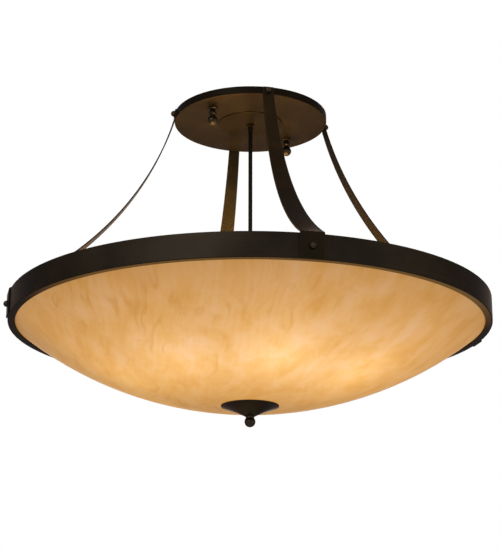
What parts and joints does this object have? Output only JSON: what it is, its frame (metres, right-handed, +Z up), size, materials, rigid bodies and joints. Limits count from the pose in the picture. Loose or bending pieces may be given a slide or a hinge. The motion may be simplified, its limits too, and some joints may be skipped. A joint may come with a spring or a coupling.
{
  "type": "semi flush ceiling light",
  "caption": "Semi flush ceiling light: round canopy, tapered straps, wide metal ring, shallow amber acrylic bowl with a lamp cluster inside, spun cap and ball finial.",
  "frame": {"origin": "centre of the ceiling bracket's top face, on the ceiling plane and the light's centre line", "axes": "+Z up into the ceiling; the front strap lies along -Y and the right strap along +X"},
  "size_m": [0.934, 0.934, 0.6258],
  "materials": {
    "bronze": "satin",
    "zinc_steel": "satin",
    "green_screw": "satin",
    "amber_acrylic": "gloss",
    "socket_brass": "satin",
    "phenolic": "matte",
    "rubber": "matte",
    "lamp_cap": "satin",
    "lamp_glass": "satin"
  },
  "bodies": {
    "fixture": {"canopy": "bronze", "canopy_centre_plate": "bronze", "stem": "bronze", "stem_hex_nut": "bronze", "stem_collar": "bronze", "strap_front": "bronze", "strap_right": "bronze", "strap_back": "bronze", "strap_left": "bronze", "strap_canopy_ball_nuts": "bronze", "strap_ring_ball_nuts": "bronze", "ring_frame": "bronze", "ceiling_bracket": "zinc_steel", "bracket_studs": "zinc_steel", "stud_lock_nuts": "zinc_steel", "stem_inner_lock_nut": "zinc_steel", "strap_canopy_screws": "zinc_steel", "strap_ring_screws": "zinc_steel", "cluster_body": "zinc_steel", "cluster_cover": "zinc_steel", "cluster_lock_nuts": "zinc_steel", "rod_coupling": "zinc_steel", "lamp_arms": "zinc_steel", "arm_nuts": "zinc_steel", "finial_rod": "zinc_steel", "cover_nut": "zinc_steel", "bowl_nut": "zinc_steel", "ground_screw": "green_screw", "bowl": "amber_acrylic", "socket_caps": "socket_brass", "socket_screw_shells": "socket_brass", "socket_contacts": "socket_brass", "socket_bodies": "phenolic", "socket_floors": "phenolic", "bowl_washer": "rubber"},
    "washer_left": {"thumb_nut_washer_left": "bronze"},
    "knob_left": {"thumb_nut_left": "bronze"},
    "washer_right": {"thumb_nut_washer_right": "bronze"},
    "knob_right": {"thumb_nut_right": "bronze"},
    "bowl_cap": {"finial_cap": "bronze"},
    "ball_finial": {"finial_ball": "bronze"},
    "lamp_1": {"lamp_base_1": "lamp_cap", "lamp_glass_1": "lamp_glass"},
    "lamp_2": {"lamp_base_2": "lamp_cap", "lamp_glass_2": "lamp_glass"},
    "lamp_3": {"lamp_base_3": "lamp_cap", "lamp_glass_3": "lamp_glass"},
    "lamp_4": {"lamp_base_4": "lamp_cap", "lamp_glass_4": "lamp_glass"},
    "lamp_5": {"lamp_base_5": "lamp_cap", "lamp_glass_5": "lamp_glass"},
    "lamp_6": {"lamp_base_6": "lamp_cap", "lamp_glass_6": "lamp_glass"},
    "lamp_7": {"lamp_base_7": "lamp_cap", "lamp_glass_7": "lamp_glass"},
    "lamp_8": {"lamp_base_8": "lamp_cap", "lamp_glass_8": "lamp_glass"}
  },
  "joints": [
    {"name": "washer_left_drop", "type": "slide", "parent": "fixture", "child": "washer_left", "axis": [0, 0, -1], "range_m": [0, 0.01016]},
    {"name": "thumb_nut_left_turn", "type": "hinge", "parent": "washer_left", "child": "knob_left", "pos_m": [-0.08912, -0.06241, -0.04], "axis": [0, 0, -1], "range_deg": [0, 2880]},
    {"name": "washer_right_drop", "type": "slide", "parent": "fixture", "child": "washer_right", "axis": [0, 0, -1], "range_m": [0, 0.01016]},
    {"name": "thumb_nut_right_turn", "type": "hinge", "parent": "washer_right", "child": "knob_right", "pos_m": [0.08912, 0.06241, -0.04], "axis": [0, 0, -1], "range_deg": [0, 2880]},
    {"name": "finial_cap_drop", "type": "slide", "parent": "fixture", "child": "bowl_cap", "axis": [0, 0, -1], "range_m": [0, 0.006]},
    {"name": "finial_ball_turn", "type": "hinge", "parent": "bowl_cap", "child": "ball_finial", "pos_m": [0, 0, -0.61], "axis": [0, 0, -1], "range_deg": [0, 2160]},
    {"name": "lamp_1_turn", "type": "hinge", "parent": "fixture", "child": "lamp_1", "pos_m": [0, -0.2, -0.4802], "axis": [0, -1, 0], "continuous": true},
    {"name": "lamp_2_turn", "type": "hinge", "parent": "fixture", "child": "lamp_2", "pos_m": [0.14142, -0.14142, -0.4802], "axis": [0.7071, -0.7071, 0], "continuous": true},
    {"name": "lamp_3_turn", "type": "hinge", "parent": "fixture", "child": "lamp_3", "pos_m": [0.2, 0, -0.4802], "axis": [1, 0, 0], "continuous": true},
    {"name": "lamp_4_turn", "type": "hinge", "parent": "fixture", "child": "lamp_4", "pos_m": [0.14142, 0.14142, -0.4802], "axis": [0.7071, 0.7071, 0], "continuous": true},
    {"name": "lamp_5_turn", "type": "hinge", "parent": "fixture", "child": "lamp_5", "pos_m": [0, 0.2, -0.4802], "axis": [0, 1, 0], "continuous": true},
    {"name": "lamp_6_turn", "type": "hinge", "parent": "fixture", "child": "lamp_6", "pos_m": [-0.14142, 0.14142, -0.4802], "axis": [-0.7071, 0.7071, 0], "continuous": true},
    {"name": "lamp_7_turn", "type": "hinge", "parent": "fixture", "child": "lamp_7", "pos_m": [-0.2, 0, -0.4802], "axis": [-1, 0, 0], "continuous": true},
    {"name": "lamp_8_turn", "type": "hinge", "parent": "fixture", "child": "lamp_8", "pos_m": [-0.14142, -0.14142, -0.4802], "axis": [-0.7071, -0.7071, 0], "continuous": true}
  ],
  "couplings": [
    {"joint": "thumb_nut_left_turn", "follows": "washer_left_drop", "rad_per_m": 4947.4},
    {"joint": "thumb_nut_right_turn", "follows": "washer_right_drop", "rad_per_m": 4947.4},
    {"joint": "finial_ball_turn", "follows": "finial_cap_drop", "rad_per_m": 6283.2}
  ]
}
